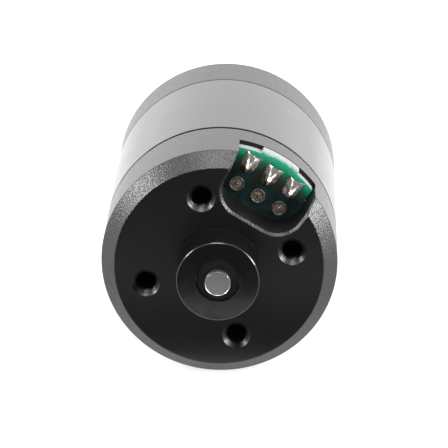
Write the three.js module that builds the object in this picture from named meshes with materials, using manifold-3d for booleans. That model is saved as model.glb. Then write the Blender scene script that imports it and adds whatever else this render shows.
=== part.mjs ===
// Small brushless outrunner motor, built as an assembly of separate pieces.
// Millimetres. +Z is up. The motor's axis is the Y axis: y = 0 is the mounting face, the boss and the
// shaft end stand out towards -Y, and the base, the rotor can and the bell follow towards +Y.
// Angles are in degrees round the axis, from +X towards +Z.
import * as THREE from "three";
import { mergeVertices } from "three/addons/utils/BufferGeometryUtils.js";
import Module from "manifold-3d";

const wasm = await Module();
wasm.setup();

// ---- driving dimensions: outside ----
const BODY_R = 15.0;            // radius of base, flux ring and bell
const BASE_LENGTH = 10.55;      // mounting face to the running gap
const RUNNING_GAP = 0.5;        // between base and rotor can
const BELL_JOINT_Y = 31.2;      // hairline joint between flux ring and bell
const BODY_END_Y = 39.2;        // output face of the bell
const EDGE_CHAMFER_R = 1.8;     // big chamfer round the mounting face, radial
const EDGE_CHAMFER_Y = 2.0;     // and axial
const BELL_CHAMFER = 0.5;
const FIT = 0.02;               // clearance left between pieces that touch

// ---- base ----
const PLATE_THICK = 5.2;
const SKIRT_INNER_R = 13.25;
const BOSS_R = 5.2;
const BOSS_HEIGHT = 4.9;
const BOSS_CHAMFER = 0.25;
const BOSS_HOLE_R = 2.8;
const BOSS_LIP_THICK = 1.0;
const BEARING_TUBE_END_Y = 28.6;
const HOLE_COUNT = 4;
const HOLE_ANGLE = 13.5;        // first mounting hole
const HOLE_PITCH_R = 9.5;       // 19 mm pitch circle
const HOLE_R = 1.35;            // M3 thread, drawn at its core
const HOLE_DEPTH = 4.6;         // blind, so no screw can reach the winding board
const HOLE_SINK_R = 1.8;
const HOLE_SINK_DEPTH = 0.45;

// ---- pocket in the rim ----
const POCKET_ANGLE = HOLE_ANGLE + 45;
const POCKET_HALF_WIDTH = 5.45; // at the inner corners
const POCKET_FLARE = 0.06;      // and the walls open outwards by this much per millimetre
const POCKET_FLOOR_R = 7.25;    // distance of the pocket's inner wall from the axis
const POCKET_CORNER_R = 3.3;
const POCKET_END_Y = 6.6;       // how far the pocket cuts down the skirt

// ---- winding board and what is on it ----
const BOARD_FRONT_Y = 5.25;
const BOARD_THICK = 1.2;
const BOARD_R = 13.05;
const BOARD_BORE_R = 5.6;
const LOBE_R = 14.5;            // edge of the lobe that fills the pocket
const LOBE_SIDE_GAP = 0.15;     // between the lobe and the pocket's walls
const TAB_R = 14.98;            // bare tab in the middle of the lobe
const TAB_HALF_ANGLE = 10.3;
const PAD_PITCH = 3.15;
const EYELET_DIST = 9.2;        // eyelet row, measured along the pocket from the axis
const EYELET_R = 0.95;
const EYELET_BARREL_R = 0.7;
const PAD_OUTER = 13.6;         // solder pads, outer and inner ends
const PAD_INNER = 11.0;
const PAD_OUTER_HALF = 1.2;
const PAD_INNER_HALF = 0.6;
const SOLDER_HEIGHT = 1.15;
const RESIN_THICK = 0.24;
const RESIN_OUTER = 10.8;
const RESIN_WALL_GAP = 0.1;

// ---- stator ----
const SLOT_COUNT = 12;
const CORE_START_Y = 14.0;
const CORE_END_Y = 27.0;
const CORE_BORE_R = BOSS_R + FIT;
const YOKE_R = 6.9;
const TOOTH_HALF_WIDTH = 0.95;
const TIP_INNER_R = 11.1;
const CORE_R = 11.95;
const TIP_HALF_ANGLE = 12.5;
const INSULATOR_THICK = 0.5;
const COIL_INNER_DIST = 7.2;
const COIL_OUTER_DIST = 10.9;
const COIL_WALL_INNER = 0.65;
const COIL_WALL_OUTER = 1.45;

// ---- rotor ----
const RING_INNER_R = 13.65;
const MAGNET_COUNT = 14;
const MAGNET_INNER_R = 12.25;
const MAGNET_START_Y = 12.8;
const MAGNET_END_Y = 28.2;
const MAGNET_SPAN = 22;
const MAGNET_GLUE = 0.05;        // glue line between magnet and ring
const SPIGOT_START_Y = 29.6;
const SPIGOT_BORE_R = 12.6;
const BELL_PLATE_THICK = 2.8;
const HUB_R = 4.2;
const HUB_START_Y = 30.2;
const OUTPUT_RECESS_R = 4.0;
const OUTPUT_RECESS_DEPTH = 0.6;
const OUTPUT_HOLE_PITCH_R = 8.0;

// ---- shaft and bearings ----
const SHAFT_R = 1.5875;         // 1/8 inch
const SHAFT_START_Y = -5.62;
const SHAFT_CHAMFER = 0.22;
const BEARING_R = 3.969;        // 1/8 x 5/16 x 9/64 inch ball bearing
const BEARING_WIDTH = 3.57;
const OUTER_LAND_R = 3.25;
const INNER_LAND_R = 2.3;
const BALL_COUNT = 7;
const BALL_R = 0.75;
const BALL_PITCH_R = 2.78;
const GROOVE_R = 0.86;
const SHIELD_R = 3.45;
const SHIELD_BORE_R = 2.42;
const SHIELD_THICK = 0.15;
const SHIELD_INSET = 0.13;
const CLIP_R = 2.7;
const CLIP_THICK = 0.4;
const CLIP_FRONT_Y = -4.45;
const GROOVE_FLOOR_R = 1.27;
const CLIP_GAP_HALF_ANGLE = 10;
const SHIM_THICK = 0.12;
const SHIM_R = 2.35;
const WASHER_THICK = 0.15;
const WASHER_WAVE = 0.06;

const ROUND_STEPS = 40;         // facets round the large turned pieces
const SMALL_STEPS = 24;
const HOLE_STEPS = 12;

// ---- finishes ----
const finish = (color, roughness, metalness) =>
  new THREE.MeshStandardMaterial({ color, roughness, metalness });
const BLACK_ANODISED = finish(0x1b1b1d, 0.42, 0.7);
const SMOOTH_ANODISED = finish(0x202022, 0.34, 0.7);
const BOARD_GREEN = finish(0x1c8a66, 0.35, 0.0);
const SOLDER = finish(0xb9b4ae, 0.25, 1.0);
const PLATED_BRASS = finish(0x9c8a6c, 0.35, 1.0);
const CLEAR_RESIN = finish(0x101612, 0.12, 0.0);
const GROUND_STEEL = finish(0x8f8f90, 0.3, 1.0);
const BLACK_STEEL = finish(0x151515, 0.4, 0.8);
const CORE_STEEL = finish(0x5d5f62, 0.45, 0.9);
const INSULATOR_BROWN = finish(0x3b2a1e, 0.5, 0.0);
const ENAMELLED_COPPER = finish(0xa4552a, 0.32, 0.9);
const MAGNET_NICKEL = finish(0xa7a7a5, 0.28, 1.0);
const BEARING_STEEL = finish(0xb0b1b3, 0.2, 1.0);

// ---- helpers ----
const radians = (degrees) => (degrees * Math.PI) / 180;

// Turns a closed three.js geometry into a solid that can be cut and joined.
function solid(geometry) {
  const bare = geometry.clone();
  for (const name of Object.keys(bare.attributes)) {
    if (name !== "position") bare.deleteAttribute(name);
  }
  const merged = mergeVertices(bare, 1e-4);
  return new wasm.Manifold(new wasm.Mesh({
    numProp: 3,
    vertProperties: new Float32Array(merged.attributes.position.array),
    triVerts: new Uint32Array(merged.index.array),
  }));
}

// Turns a solid back into a three.js geometry.
function geometryOf(body) {
  const mesh = body.getMesh();
  const geometry = new THREE.BufferGeometry();
  geometry.setAttribute("position", new THREE.BufferAttribute(mesh.vertProperties, 3));
  geometry.setIndex(new THREE.BufferAttribute(mesh.triVerts, 1));
  geometry.computeVertexNormals();
  return geometry;
}

// A body of revolution round Y. The outline's points are [radius, y], counter-clockwise with the radius
// to the right and y up, and closed back to the first point.
function turned(outline, steps = ROUND_STEPS) {
  const points = [...outline, outline[0]].map(([r, y]) => new THREE.Vector2(r, y));
  return solid(new THREE.LatheGeometry(points, steps));
}

// A plain ring or sleeve.
function ring(innerR, outerR, y0, y1, steps = SMALL_STEPS) {
  return turned([[innerR, y0], [outerR, y0], [outerR, y1], [innerR, y1]], steps);
}

// A plain round bar whose outline starts and ends on the axis.
function bar(outline, steps = SMALL_STEPS) {
  return solid(new THREE.LatheGeometry(outline.map(([r, y]) => new THREE.Vector2(r, y)), steps));
}

// An outline drawn in the XZ plane, as seen from the front, carried along Y from y0 to y1.
function prism(shape, y0, y1, curveSegments = 8) {
  const geometry = new THREE.ExtrudeGeometry(shape, { depth: y1 - y0, bevelEnabled: false, curveSegments });
  geometry.rotateX(Math.PI / 2);
  geometry.translate(0, y1, 0);
  return solid(geometry);
}

// Turns a solid round the motor's axis, from the +X direction to the given angle.
function turnedTo(body, degrees) {
  return body.rotate([0, -degrees, 0]);
}

// Moves a geometry-space body to a place at a distance from the axis, at an angle.
function placedAt(body, distance, degrees) {
  return turnedTo(body.translate([distance, 0, 0]), degrees);
}

// A tool for one tapped hole with its countersink, entering from y = face and running inwards (+1 or -1).
function tappedHoleTool(face, depth, inwards) {
  const over = 0.5;
  const rows = [
    [0, face - over * inwards],
    [HOLE_SINK_R + over, face - over * inwards],
    [HOLE_R, face + HOLE_SINK_DEPTH * inwards],
    [HOLE_R, face + depth * inwards],
    [0, face + depth * inwards],
  ];
  return bar(inwards > 0 ? rows : rows.reverse(), HOLE_STEPS);
}

// ---- base housing ----
// Half the pocket's width at a distance from the motor's axis.
function pocketHalf(distance) {
  return POCKET_HALF_WIDTH + POCKET_FLARE * Math.max(0, distance - POCKET_FLOOR_R - POCKET_CORNER_R);
}

function pocketOutline(inset) {
  const w = POCKET_HALF_WIDTH - inset;
  const c = POCKET_CORNER_R - inset;
  const floor = POCKET_FLOOR_R + inset;
  const mouth = BODY_R + 2;
  const shape = new THREE.Shape();
  shape.moveTo(mouth, -pocketHalf(mouth) + inset);
  shape.lineTo(mouth, pocketHalf(mouth) - inset);
  shape.lineTo(floor + c, w);
  shape.absarc(floor + c, w - c, c, Math.PI / 2, Math.PI, false);
  shape.lineTo(floor, c - w);
  shape.absarc(floor + c, c - w, c, Math.PI, 1.5 * Math.PI, false);
  return shape;
}

function baseHousing() {
  const lipY = -BOSS_HEIGHT + BOSS_LIP_THICK;
  const boreR = BEARING_R + FIT;
  let body = turned([
    [BOSS_HOLE_R, -BOSS_HEIGHT],
    [BOSS_R - BOSS_CHAMFER, -BOSS_HEIGHT],
    [BOSS_R, -BOSS_HEIGHT + BOSS_CHAMFER],
    [BOSS_R, 0],
    [BODY_R - EDGE_CHAMFER_R, 0],
    [BODY_R, EDGE_CHAMFER_Y],
    [BODY_R, BASE_LENGTH],
    [SKIRT_INNER_R, BASE_LENGTH],
    [SKIRT_INNER_R, PLATE_THICK],
    [BOSS_R, PLATE_THICK],
    [BOSS_R, BEARING_TUBE_END_Y],
    [boreR, BEARING_TUBE_END_Y],
    [boreR, lipY],
    [BOSS_HOLE_R, lipY],
  ]);
  for (let i = 0; i < HOLE_COUNT; i += 1) {
    const tool = tappedHoleTool(0, HOLE_DEPTH, 1);
    body = body.subtract(placedAt(tool, HOLE_PITCH_R, HOLE_ANGLE + (i * 360) / HOLE_COUNT));
  }
  return body.subtract(turnedTo(prism(pocketOutline(0), -1, POCKET_END_Y), POCKET_ANGLE));
}

// ---- winding board ----
function circuitBoard() {
  const inner = BOARD_R - 2;
  const innerHalf = pocketHalf(inner) - LOBE_SIDE_GAP;
  const outerHalf = pocketHalf(LOBE_R) - LOBE_SIDE_GAP;
  const half = Math.asin(outerHalf / LOBE_R);
  const lobe = new THREE.Shape();
  lobe.moveTo(inner, -innerHalf);
  lobe.lineTo(LOBE_R * Math.cos(half), -outerHalf);
  lobe.absarc(0, 0, LOBE_R, -half, half, false);
  lobe.lineTo(inner, innerHalf);
  const tabHalf = radians(TAB_HALF_ANGLE);
  const tab = new THREE.Shape();
  tab.moveTo(BOARD_R, 0);
  tab.lineTo(TAB_R * Math.cos(tabHalf), -TAB_R * Math.sin(tabHalf));
  tab.absarc(0, 0, TAB_R, -tabHalf, tabHalf, false);
  const back = BOARD_FRONT_Y + BOARD_THICK;
  let body = ring(BOARD_BORE_R, BOARD_R, BOARD_FRONT_Y, back, ROUND_STEPS)
    .add(turnedTo(prism(lobe, BOARD_FRONT_Y, back, 12), POCKET_ANGLE))
    .add(turnedTo(prism(tab, BOARD_FRONT_Y, back, 6), POCKET_ANGLE));
  for (const side of [-1, 0, 1]) {
    const drill = bar([
      [0, BOARD_FRONT_Y - 1],
      [EYELET_BARREL_R + FIT, BOARD_FRONT_Y - 1],
      [EYELET_BARREL_R + FIT, back + 1],
      [0, back + 1],
    ], HOLE_STEPS);
    body = body.subtract(turnedTo(drill.translate([EYELET_DIST, 0, side * PAD_PITCH]), POCKET_ANGLE));
  }
  return body;
}

// One plated eyelet with the winding end soldered in it.
function phaseEyelet(side) {
  const front = BOARD_FRONT_Y - FIT;
  const flange = 0.38;
  const wire = 0.42;
  const tail = 1.0;
  const body = bar([
    [0, front - flange - 0.1],
    [wire, front - flange],
    [EYELET_R - 0.2, front - flange],
    [EYELET_R, front - flange + 0.15],
    [EYELET_R, front],
    [EYELET_BARREL_R, front],
    [EYELET_BARREL_R, BOARD_FRONT_Y + BOARD_THICK + tail],
    [0, BOARD_FRONT_Y + BOARD_THICK + tail],
  ], HOLE_STEPS);
  return turnedTo(body.translate([EYELET_DIST, 0, side * PAD_PITCH]), POCKET_ANGLE);
}

// One solder mound: wide and low at its outer end, narrow and high towards the axis.
function solderJoint(side) {
  const foot = new THREE.Shape();
  foot.moveTo(PAD_OUTER, -PAD_OUTER_HALF);
  foot.lineTo(PAD_OUTER, PAD_OUTER_HALF);
  foot.lineTo(PAD_INNER, PAD_INNER_HALF);
  foot.lineTo(PAD_INNER, -PAD_INNER_HALF);
  const top = BOARD_FRONT_Y - FIT;
  const geometry = new THREE.ExtrudeGeometry(foot, { depth: SOLDER_HEIGHT, bevelEnabled: false });
  geometry.rotateX(Math.PI / 2);
  geometry.translate(0, top, 0);
  const place = geometry.attributes.position;
  for (let i = 0; i < place.count; i += 1) {
    if (place.getY(i) < top - 0.01) {
      const inwards = place.getX(i) < PAD_INNER + 0.01;
      place.setX(i, inwards ? PAD_INNER + 0.45 : PAD_OUTER - 0.5);
      place.setZ(i, place.getZ(i) * (inwards ? 0.4 : 0.5));
      if (!inwards) place.setY(i, top - 0.3);
    }
  }
  return turnedTo(solid(geometry).translate([0, 0, side * PAD_PITCH]), POCKET_ANGLE);
}

// Clear resin over the inner end of the board in the pocket, round the eyelets.
function pottingResin() {
  const top = BOARD_FRONT_Y - FIT;
  const beyond = solid(new THREE.BoxGeometry(20, 4, 20)).translate([RESIN_OUTER + 10, top, 0]);
  let body = prism(pocketOutline(RESIN_WALL_GAP), top - RESIN_THICK, top, 5).subtract(beyond);
  for (const side of [-1, 0, 1]) {
    const r = EYELET_R + FIT;
    const hole = bar([[0, top - 1], [r, top - 1], [r, top + 1], [0, top + 1]], HOLE_STEPS);
    body = body.subtract(hole.translate([EYELET_DIST, 0, side * PAD_PITCH]));
  }
  return turnedTo(body, POCKET_ANGLE);
}

// ---- stator ----
// Outside of the lamination: a yoke with one T-shaped tooth for each coil.
function laminationOutline(grow) {
  const shape = new THREE.Shape();
  const half = TOOTH_HALF_WIDTH + grow;
  const rootAngle = Math.asin(half / YOKE_R);
  const neckAngle = Math.asin(half / TIP_INNER_R);
  const tip = radians(TIP_HALF_ANGLE);
  const pitch = (2 * Math.PI) / SLOT_COUNT;
  for (let i = 0; i < SLOT_COUNT; i += 1) {
    const mid = i * pitch;
    if (i === 0) {
      shape.moveTo(YOKE_R * Math.cos(mid - rootAngle), YOKE_R * Math.sin(mid - rootAngle));
    } else {
      shape.absarc(0, 0, YOKE_R, mid - pitch + rootAngle, mid - rootAngle, false);
    }
    const neck = mid - neckAngle;
    shape.lineTo(TIP_INNER_R * Math.cos(neck), TIP_INNER_R * Math.sin(neck));
    shape.lineTo((TIP_INNER_R + 0.3) * Math.cos(mid - tip), (TIP_INNER_R + 0.3) * Math.sin(mid - tip));
    shape.absarc(0, 0, CORE_R, mid - tip, mid + tip, false);
    shape.lineTo((TIP_INNER_R + 0.3) * Math.cos(mid + tip), (TIP_INNER_R + 0.3) * Math.sin(mid + tip));
    shape.lineTo(TIP_INNER_R * Math.cos(mid + neckAngle), TIP_INNER_R * Math.sin(mid + neckAngle));
    shape.lineTo(YOKE_R * Math.cos(mid + rootAngle), YOKE_R * Math.sin(mid + rootAngle));
  }
  shape.absarc(0, 0, YOKE_R, rootAngle - pitch, -rootAngle, false);
  return shape;
}

function lamination(y0, y1, grow) {
  const bore = bar([[0, y0 - 1], [CORE_BORE_R, y0 - 1], [CORE_BORE_R, y1 + 1], [0, y1 + 1]], ROUND_STEPS);
  return prism(laminationOutline(grow), y0, y1, 2).subtract(bore);
}

// One coil: a rounded loop round its tooth, thicker towards the air gap, where the slot is wider.
function coil(index) {
  const innerHalf = TOOTH_HALF_WIDTH + 0.12;
  const innerReach = (CORE_END_Y - CORE_START_Y) / 2 + INSULATOR_THICK + 0.06;
  const midY = (CORE_START_Y + CORE_END_Y) / 2;
  const loop = new THREE.Shape();
  const outerHalf = innerHalf + COIL_WALL_INNER;
  const outerReach = innerReach + COIL_WALL_INNER;
  const corner = 0.6;
  loop.moveTo(outerReach, -outerHalf + corner);
  loop.lineTo(outerReach, outerHalf - corner);
  loop.absarc(outerReach - corner, outerHalf - corner, corner, 0, Math.PI / 2, false);
  loop.lineTo(corner - outerReach, outerHalf);
  loop.absarc(corner - outerReach, outerHalf - corner, corner, Math.PI / 2, Math.PI, false);
  loop.lineTo(-outerReach, corner - outerHalf);
  loop.absarc(corner - outerReach, corner - outerHalf, corner, Math.PI, 1.5 * Math.PI, false);
  loop.lineTo(outerReach - corner, -outerHalf);
  loop.absarc(outerReach - corner, corner - outerHalf, corner, 1.5 * Math.PI, 2 * Math.PI, false);
  const window = new THREE.Path();
  window.moveTo(innerReach, -innerHalf);
  window.lineTo(-innerReach, -innerHalf);
  window.lineTo(-innerReach, innerHalf);
  window.lineTo(innerReach, innerHalf);
  loop.holes.push(window);
  const depth = COIL_OUTER_DIST - COIL_INNER_DIST;
  const geometry = new THREE.ExtrudeGeometry(loop, { depth, bevelEnabled: false, curveSegments: 2 });
  const place = geometry.attributes.position;
  const spread = COIL_WALL_OUTER - COIL_WALL_INNER;
  for (let i = 0; i < place.count; i += 1) {
    const [along, across, out] = [place.getX(i), place.getY(i), place.getZ(i)];
    const onOutside = Math.abs(along) > innerReach + 0.01 || Math.abs(across) > innerHalf + 0.01;
    const extra = onOutside && out > depth / 2 ? spread : 0;
    const newAcross = Math.abs(across) > innerHalf + 0.01 ? across + Math.sign(across) * extra : across;
    const newAlong = Math.abs(along) > innerReach + 0.01 ? along + Math.sign(along) * extra : along;
    place.setXYZ(i, COIL_INNER_DIST + out, midY + newAlong, newAcross);
  }
  return turnedTo(solid(geometry), (index * 360) / SLOT_COUNT);
}

// ---- rotor ----
function magnet(index) {
  const half = radians(MAGNET_SPAN / 2);
  const outerR = RING_INNER_R - MAGNET_GLUE;
  const shape = new THREE.Shape();
  shape.moveTo(MAGNET_INNER_R * Math.cos(half), -MAGNET_INNER_R * Math.sin(half));
  shape.absarc(0, 0, outerR, -half, half, false);
  shape.absarc(0, 0, MAGNET_INNER_R, half, -half, true);
  const body = prism(shape, MAGNET_START_Y, MAGNET_END_Y, 4);
  return turnedTo(body, ((index + 0.5) * 360) / MAGNET_COUNT);
}

function fluxRing() {
  const front = BASE_LENGTH + RUNNING_GAP;
  return turned([
    [RING_INNER_R, front],
    [BODY_R, front],
    [BODY_R, BELL_JOINT_Y - FIT],
    [RING_INNER_R, BELL_JOINT_Y - FIT],
  ], MAGNET_COUNT * 4);
}

function bell() {
  const plateY = BODY_END_Y - BELL_PLATE_THICK;
  const spigotR = RING_INNER_R - 0.06;
  const boreR = SHAFT_R + FIT;
  const recessY = BODY_END_Y - OUTPUT_RECESS_DEPTH;
  let body = turned([
    [boreR, HUB_START_Y],
    [HUB_R, HUB_START_Y],
    [HUB_R, plateY],
    [SPIGOT_BORE_R, plateY],
    [SPIGOT_BORE_R, SPIGOT_START_Y],
    [spigotR, SPIGOT_START_Y],
    [spigotR, BELL_JOINT_Y],
    [BODY_R, BELL_JOINT_Y],
    [BODY_R, BODY_END_Y - BELL_CHAMFER],
    [BODY_R - BELL_CHAMFER, BODY_END_Y],
    [OUTPUT_RECESS_R, BODY_END_Y],
    [OUTPUT_RECESS_R, recessY],
    [boreR, recessY],
  ]);
  for (let i = 0; i < HOLE_COUNT; i += 1) {
    const tool = tappedHoleTool(BODY_END_Y, BELL_PLATE_THICK + 1, -1);
    body = body.subtract(placedAt(tool, OUTPUT_HOLE_PITCH_R, HOLE_ANGLE + (i * 360) / HOLE_COUNT));
  }
  return body;
}

// ---- shaft line ----
function shaft() {
  const end = BODY_END_Y - OUTPUT_RECESS_DEPTH + 0.1;
  const grooveStart = CLIP_FRONT_Y - FIT;
  const grooveEnd = CLIP_FRONT_Y + CLIP_THICK + FIT;
  return bar([
    [0, SHAFT_START_Y],
    [SHAFT_R - SHAFT_CHAMFER, SHAFT_START_Y],
    [SHAFT_R, SHAFT_START_Y + SHAFT_CHAMFER],
    [SHAFT_R, grooveStart],
    [GROOVE_FLOOR_R, grooveStart],
    [GROOVE_FLOOR_R, grooveEnd],
    [SHAFT_R, grooveEnd],
    [SHAFT_R, end - SHAFT_CHAMFER],
    [SHAFT_R - SHAFT_CHAMFER, end],
    [0, end],
  ]);
}

function retainingClip() {
  const gap = radians(CLIP_GAP_HALF_ANGLE);
  const innerR = GROOVE_FLOOR_R + FIT;
  const shape = new THREE.Shape();
  shape.moveTo(innerR * Math.cos(gap), innerR * Math.sin(gap));
  shape.absarc(0, 0, CLIP_R, gap, 2 * Math.PI - gap, false);
  shape.absarc(0, 0, innerR, 2 * Math.PI - gap, gap, true);
  const body = prism(shape, CLIP_FRONT_Y, CLIP_FRONT_Y + CLIP_THICK, 10);
  return turnedTo(body, 90);
}

// The front bearing starts on the boss's lip, and the rear one ends flush with the bearing tube.
const FRONT_BEARING_Y = -BOSS_HEIGHT + BOSS_LIP_THICK + FIT;
const REAR_BEARING_Y = BEARING_TUBE_END_Y - BEARING_WIDTH;

// The outer race has a ball groove and a step at each side for its shield.
function outerRace(y0) {
  const mid = y0 + BEARING_WIDTH / 2;
  const end = y0 + BEARING_WIDTH;
  const step = SHIELD_INSET + SHIELD_THICK + FIT;
  const half = 0.5;
  const grooveR = BALL_PITCH_R + GROOVE_R;
  return turned([
    [SHIELD_R + FIT, y0],
    [BEARING_R, y0],
    [BEARING_R, end],
    [SHIELD_R + FIT, end],
    [SHIELD_R + FIT, end - step],
    [OUTER_LAND_R, end - step],
    [OUTER_LAND_R, mid + half * 1.6],
    [grooveR, mid + half * 0.5],
    [grooveR, mid - half * 0.5],
    [OUTER_LAND_R, mid - half * 1.6],
    [OUTER_LAND_R, y0 + step],
    [SHIELD_R + FIT, y0 + step],
  ], SMALL_STEPS);
}

function innerRace(y0) {
  const mid = y0 + BEARING_WIDTH / 2;
  const end = y0 + BEARING_WIDTH;
  const half = 0.5;
  const grooveR = BALL_PITCH_R - GROOVE_R;
  const boreR = SHAFT_R + FIT;
  return turned([
    [boreR, y0],
    [INNER_LAND_R, y0],
    [INNER_LAND_R, mid - half * 1.6],
    [grooveR, mid - half * 0.5],
    [grooveR, mid + half * 0.5],
    [INNER_LAND_R, mid + half * 1.6],
    [INNER_LAND_R, end],
    [boreR, end],
  ], SMALL_STEPS);
}

// The balls and the ribbon cage that spaces them, as one piece.
function ballSet(y0) {
  const mid = y0 + BEARING_WIDTH / 2;
  let body = ring(BALL_PITCH_R - 0.22, BALL_PITCH_R + 0.22, mid - 0.3, mid + 0.3);
  for (let i = 0; i < BALL_COUNT; i += 1) {
    const ball = solid(new THREE.SphereGeometry(BALL_R, 8, 6)).translate([0, mid, 0]);
    body = body.add(placedAt(ball, BALL_PITCH_R, (i * 360) / BALL_COUNT));
  }
  return body;
}

function shield(y0, atEnd) {
  const front = atEnd ? y0 + BEARING_WIDTH - SHIELD_INSET - SHIELD_THICK : y0 + SHIELD_INSET;
  return ring(SHIELD_BORE_R, SHIELD_R, front, front + SHIELD_THICK);
}

// A thin ring bent into three waves, drawn by lifting a flat ring's points with the angle.
function waveWasher() {
  const innerR = OUTER_LAND_R - 0.2;
  const outerR = BEARING_R - 0.1;
  const middle = REAR_BEARING_Y - WASHER_THICK / 2 - WASHER_WAVE - FIT;
  const flat = geometryOf(ring(innerR, outerR, middle - WASHER_THICK / 2, middle + WASHER_THICK / 2));
  const place = flat.attributes.position;
  for (let i = 0; i < place.count; i += 1) {
    const angle = Math.atan2(place.getZ(i), place.getX(i));
    place.setY(i, place.getY(i) + WASHER_WAVE * Math.sin(3 * angle));
  }
  return solid(flat);
}

// ---- assembly ----
const motor = new THREE.Group();

function piece(name, body, material) {
  const mesh = new THREE.Mesh(geometryOf(body), material);
  mesh.name = name;
  motor.add(mesh);
}

const number = (i) => String(i + 1).padStart(2, "0");

piece("base_housing", baseHousing(), BLACK_ANODISED);
piece("circuit_board", circuitBoard(), BOARD_GREEN);
for (const side of [-1, 0, 1]) {
  piece(`solder_joint_${side + 2}`, solderJoint(side), SOLDER);
  piece(`phase_eyelet_${side + 2}`, phaseEyelet(side), PLATED_BRASS);
}
piece("potting_resin", pottingResin(), CLEAR_RESIN);

piece("stator_core", lamination(CORE_START_Y, CORE_END_Y, 0), CORE_STEEL);
piece(
  "insulator_front",
  lamination(CORE_START_Y - FIT - INSULATOR_THICK, CORE_START_Y - FIT, 0.05),
  INSULATOR_BROWN,
);
piece(
  "insulator_rear",
  lamination(CORE_END_Y + FIT, CORE_END_Y + FIT + INSULATOR_THICK, 0.05),
  INSULATOR_BROWN,
);
for (let i = 0; i < SLOT_COUNT; i += 1) piece(`coil_${number(i)}`, coil(i), ENAMELLED_COPPER);

for (const [end, y0] of [["front", FRONT_BEARING_Y], ["rear", REAR_BEARING_Y]]) {
  piece(`${end}_bearing_outer_race`, outerRace(y0), BEARING_STEEL);
  piece(`${end}_bearing_inner_race`, innerRace(y0), BEARING_STEEL);
  piece(`${end}_bearing_balls`, ballSet(y0), BEARING_STEEL);
  piece(`${end}_bearing_shield_near`, shield(y0, false), BEARING_STEEL);
  piece(`${end}_bearing_shield_far`, shield(y0, true), BEARING_STEEL);
}
const spacerStart = FRONT_BEARING_Y + BEARING_WIDTH + FIT;
const spacerEnd = REAR_BEARING_Y - WASHER_THICK - 2 * WASHER_WAVE - 2 * FIT;
piece("bearing_spacer", ring(OUTER_LAND_R, BEARING_R - FIT, spacerStart, spacerEnd), SMOOTH_ANODISED);
piece("wave_washer", waveWasher(), GROUND_STEEL);

piece("shaft", shaft(), GROUND_STEEL);
piece("retaining_clip", retainingClip(), BLACK_STEEL);
const shimEnd = FRONT_BEARING_Y - FIT;
piece("shim_front", ring(SHAFT_R + FIT, SHIM_R, shimEnd - SHIM_THICK, shimEnd), GROUND_STEEL);
piece("hub_spacer", ring(SHAFT_R + FIT, SHIM_R, BEARING_TUBE_END_Y + FIT, HUB_START_Y - FIT), GROUND_STEEL);
piece("flux_ring", fluxRing(), SMOOTH_ANODISED);
for (let i = 0; i < MAGNET_COUNT; i += 1) piece(`magnet_${number(i)}`, magnet(i), MAGNET_NICKEL);
piece("bell", bell(), BLACK_ANODISED);

export default motor;
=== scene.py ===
"""Looks of a small brushless outrunner motor, laid out as a Blender add-on.

The motor lies on its side: its axis is Y, y = 0 is the mounting face, and the boss and the shaft end
point to -Y. Lengths are metres. Angles go round the axis from +X towards +Z.
"""

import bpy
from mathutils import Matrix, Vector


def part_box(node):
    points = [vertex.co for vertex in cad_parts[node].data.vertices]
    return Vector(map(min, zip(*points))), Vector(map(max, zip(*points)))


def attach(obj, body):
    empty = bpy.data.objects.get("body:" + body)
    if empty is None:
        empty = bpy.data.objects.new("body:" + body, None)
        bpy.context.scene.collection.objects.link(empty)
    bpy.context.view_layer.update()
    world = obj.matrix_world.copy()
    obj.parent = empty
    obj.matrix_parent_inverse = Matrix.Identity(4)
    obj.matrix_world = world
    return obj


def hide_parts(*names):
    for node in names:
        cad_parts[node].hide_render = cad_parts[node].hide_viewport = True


bl_info = {
    "name": "Brushless outrunner motor",
    "version": (1, 0, 0),
    "blender": (4, 5, 0),
    "location": "3D View > Sidebar > Motor",
    "description": "Builds the visible pieces and finishes of a small outrunner motor round its CAD frame",
    "category": "Add Mesh",
}

import math

import bmesh
import bpy
import numpy as np

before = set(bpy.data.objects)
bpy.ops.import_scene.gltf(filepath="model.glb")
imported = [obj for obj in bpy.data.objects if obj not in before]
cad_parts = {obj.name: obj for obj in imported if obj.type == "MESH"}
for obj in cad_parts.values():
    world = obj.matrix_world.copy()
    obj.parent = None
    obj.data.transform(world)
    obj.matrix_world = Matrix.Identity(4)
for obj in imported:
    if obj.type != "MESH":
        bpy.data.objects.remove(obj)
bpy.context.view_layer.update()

MM = 0.001
TAU = 2 * math.pi
ROUND_STEPS = 240            # facets round the large turned pieces
SMALL_STEPS = 96             # and round the small ones

BASE_LOW, BASE_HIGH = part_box("base_housing")
RING_LOW, RING_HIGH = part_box("flux_ring")
BELL_LOW, BELL_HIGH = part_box("bell")
SHAFT_LOW, SHAFT_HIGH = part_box("shaft")
CLIP_LOW, CLIP_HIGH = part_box("retaining_clip")
SPACER_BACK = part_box("hub_spacer")[1].y
BODY_R = RING_HIGH.z
BOARD_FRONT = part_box("circuit_board")[0].y
BOARD_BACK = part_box("circuit_board")[1].y


# ---------------------------------------------------------------- settings
def length(name, description, millimetres):
    """A length property, given in millimetres and held in metres."""
    return bpy.props.FloatProperty(
        name=name, description=description, default=millimetres * MM, min=0.0,
        subtype="DISTANCE", unit="LENGTH", precision=5)


def angle(name, description, degrees):
    """An angle property, given in degrees and held in radians."""
    return bpy.props.FloatProperty(
        name=name, description=description, default=math.radians(degrees), subtype="ANGLE", unit="ROTATION")


def number(name, description, value, unit="NONE"):
    """A property that is a plain number, or one with a unit of its own."""
    return bpy.props.FloatProperty(name=name, description=description, default=value, unit=unit)


def colour_value(name, description, value):
    """A colour property, held as an sRGB hex value."""
    return bpy.props.StringProperty(name=name, description=description, default=value)


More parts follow.
